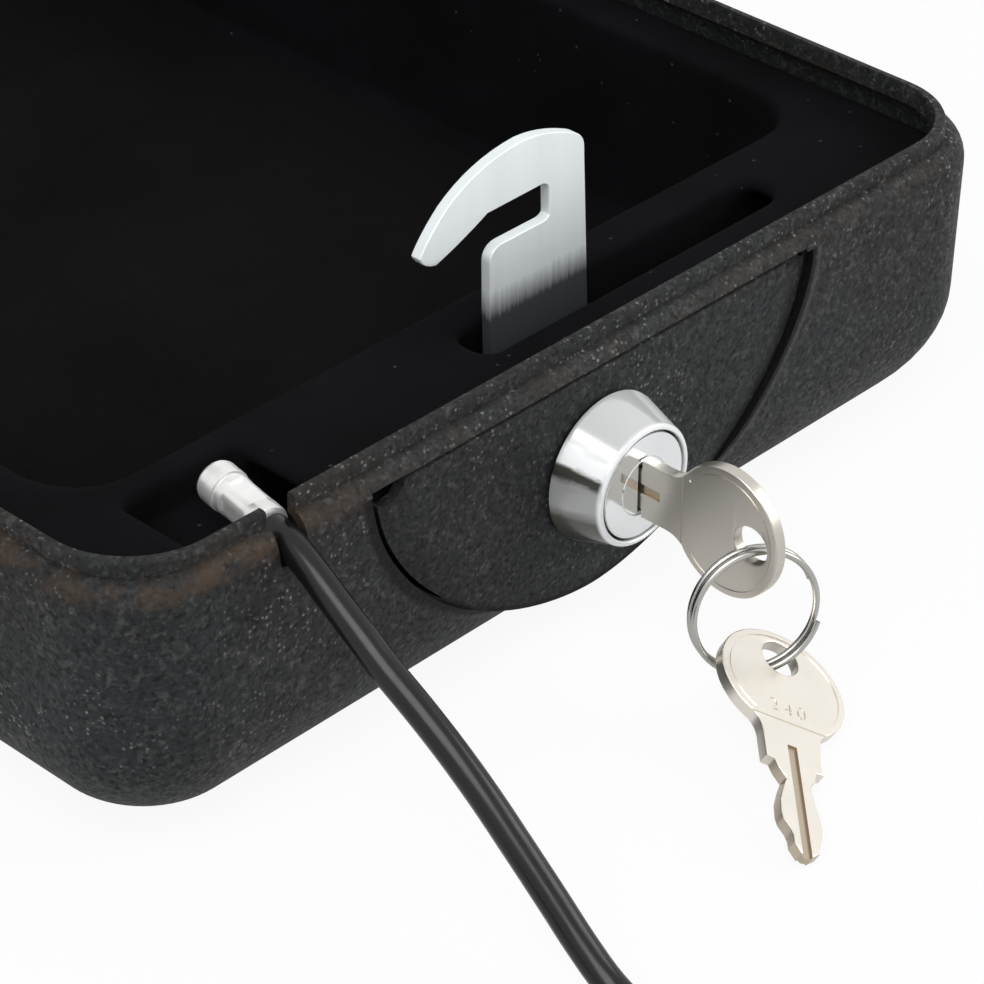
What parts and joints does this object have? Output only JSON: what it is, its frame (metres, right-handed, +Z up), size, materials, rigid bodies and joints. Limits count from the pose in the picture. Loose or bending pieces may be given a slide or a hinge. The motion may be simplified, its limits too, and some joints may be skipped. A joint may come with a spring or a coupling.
{
  "type": "portable car safe",
  "caption": "Small steel lock box with a hinged lid, a keyed cam lock, a moulded liner and a coated tether cable that is trapped under the lid.",
  "frame": {"origin": "middle of the flat bottom of the case", "axes": "+Z up, -Y towards the lock and the keys, +X to the right of someone who faces the lock"},
  "size_m": [0.1921, 0.4101, 0.2557],
  "materials": {
    "powder_coat": "textured charcoal powder coat on pressed steel",
    "liner": "flocked moulded liner",
    "foam": "soft dark felt-faced foam",
    "zinc": "bright zinc plate on steel",
    "chrome": "polished",
    "steel": "bright steel wire",
    "nickel": "nickel plate on brass, stamped",
    "ferrule": "crimped, satin",
    "jacket": "glossy black coating on wire rope"
  },
  "bodies": {
    "base": {"base_shell": "powder_coat", "liner_tray": "liner", "pocket_mat": "foam", "hinge_leaf_base": "powder_coat", "hinge_pin": "steel", "base_rivet_left": "powder_coat", "base_rivet_right": "powder_coat", "lock_trim_ring": "chrome", "lock_barrel": "zinc", "lock_washer": "zinc", "lock_nut": "zinc", "cable_ferrule": "ferrule", "cable_run": "jacket", "cable_coil": "jacket", "cable_tail": "jacket", "eye_sleeve": "ferrule", "cable_eye": "jacket"},
    "lid": {"lid_shell": "powder_coat", "lid_lining": "foam", "hinge_leaf_lid": "powder_coat", "lid_rivet_left": "powder_coat", "lid_rivet_right": "powder_coat", "lid_keeper": "zinc", "keeper_rivet_left": "zinc", "keeper_rivet_right": "zinc"},
    "plug": {"lock_plug": "chrome", "cam_hook": "zinc", "cam_nut": "zinc"},
    "lock_key": {"key_1": "nickel"},
    "ring": {"key_ring": "steel"},
    "spare_key": {"key_2": "nickel"}
  },
  "joints": [
    {"name": "lid_hinge", "type": "hinge", "parent": "base", "child": "lid", "pos_m": [0, 0.1134, 0.0394], "axis": [1, 0, 0], "range_deg": [0, 105]},
    {"name": "plug_turn", "type": "hinge", "parent": "base", "child": "plug", "pos_m": [-0.0005, -0.1105, 0.0233], "axis": [0, 1, 0], "range_deg": [0, 90]},
    {"name": "key_slide", "type": "slide", "parent": "plug", "child": "lock_key", "axis": [0, -1, 0], "range_m": [0, 0.022]},
    {"name": "ring_swing", "type": "hinge", "parent": "lock_key", "child": "ring", "pos_m": [-0.0005, -0.13425, 0.02215], "axis": [-0.8805, 0.474, 0], "range_deg": [0, 60]},
    {"name": "spare_key_round_ring", "type": "hinge", "parent": "ring", "child": "spare_key", "pos_m": [-0.00098, -0.13514, 0.01442], "axis": [-0.47, -0.873, 0.13], "range_deg": [0, 50]}
  ]
}
